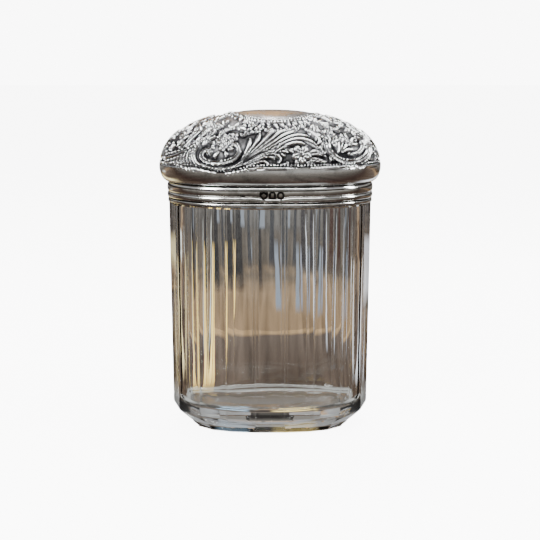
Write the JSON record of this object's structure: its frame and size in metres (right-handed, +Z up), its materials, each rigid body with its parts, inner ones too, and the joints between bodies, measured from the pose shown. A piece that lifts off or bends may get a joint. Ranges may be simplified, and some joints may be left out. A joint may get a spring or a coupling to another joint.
{
  "type": "powder jar",
  "caption": "Oval dressing-table powder jar: panel-cut clear glass body with a pull-off domed silver lid in scrolling leaf relief.",
  "frame": {"origin": "centre of the flat base, on the surface that the jar stands on", "axes": "+X along the long axis of the oval, -Y towards the front, +Z up through the lid"},
  "size_m": [0.0678, 0.0416, 0.1001],
  "materials": {
    "clear_glass": "fire-polished and cut, clear and colourless",
    "gilt_silver": "silver with a thin worn gilt wash, satin",
    "polished_silver": "polished silver with fine wear and dark grooves",
    "aged_silver": "die-stamped silver, burnished on the high places and dark in the recesses"
  },
  "bodies": {
    "jar": {"glass_jar": "clear_glass"},
    "lid": {"lid_sleeve": "gilt_silver", "lid_rim_wire": "polished_silver", "lid_reeded_band": "polished_silver", "lid_dome": "aged_silver"}
  },
  "joints": [
    {"name": "lid_lift", "type": "slide", "parent": "jar", "child": "lid", "axis": [0, 0, 1], "range_m": [0, 0.06]}
  ]
}
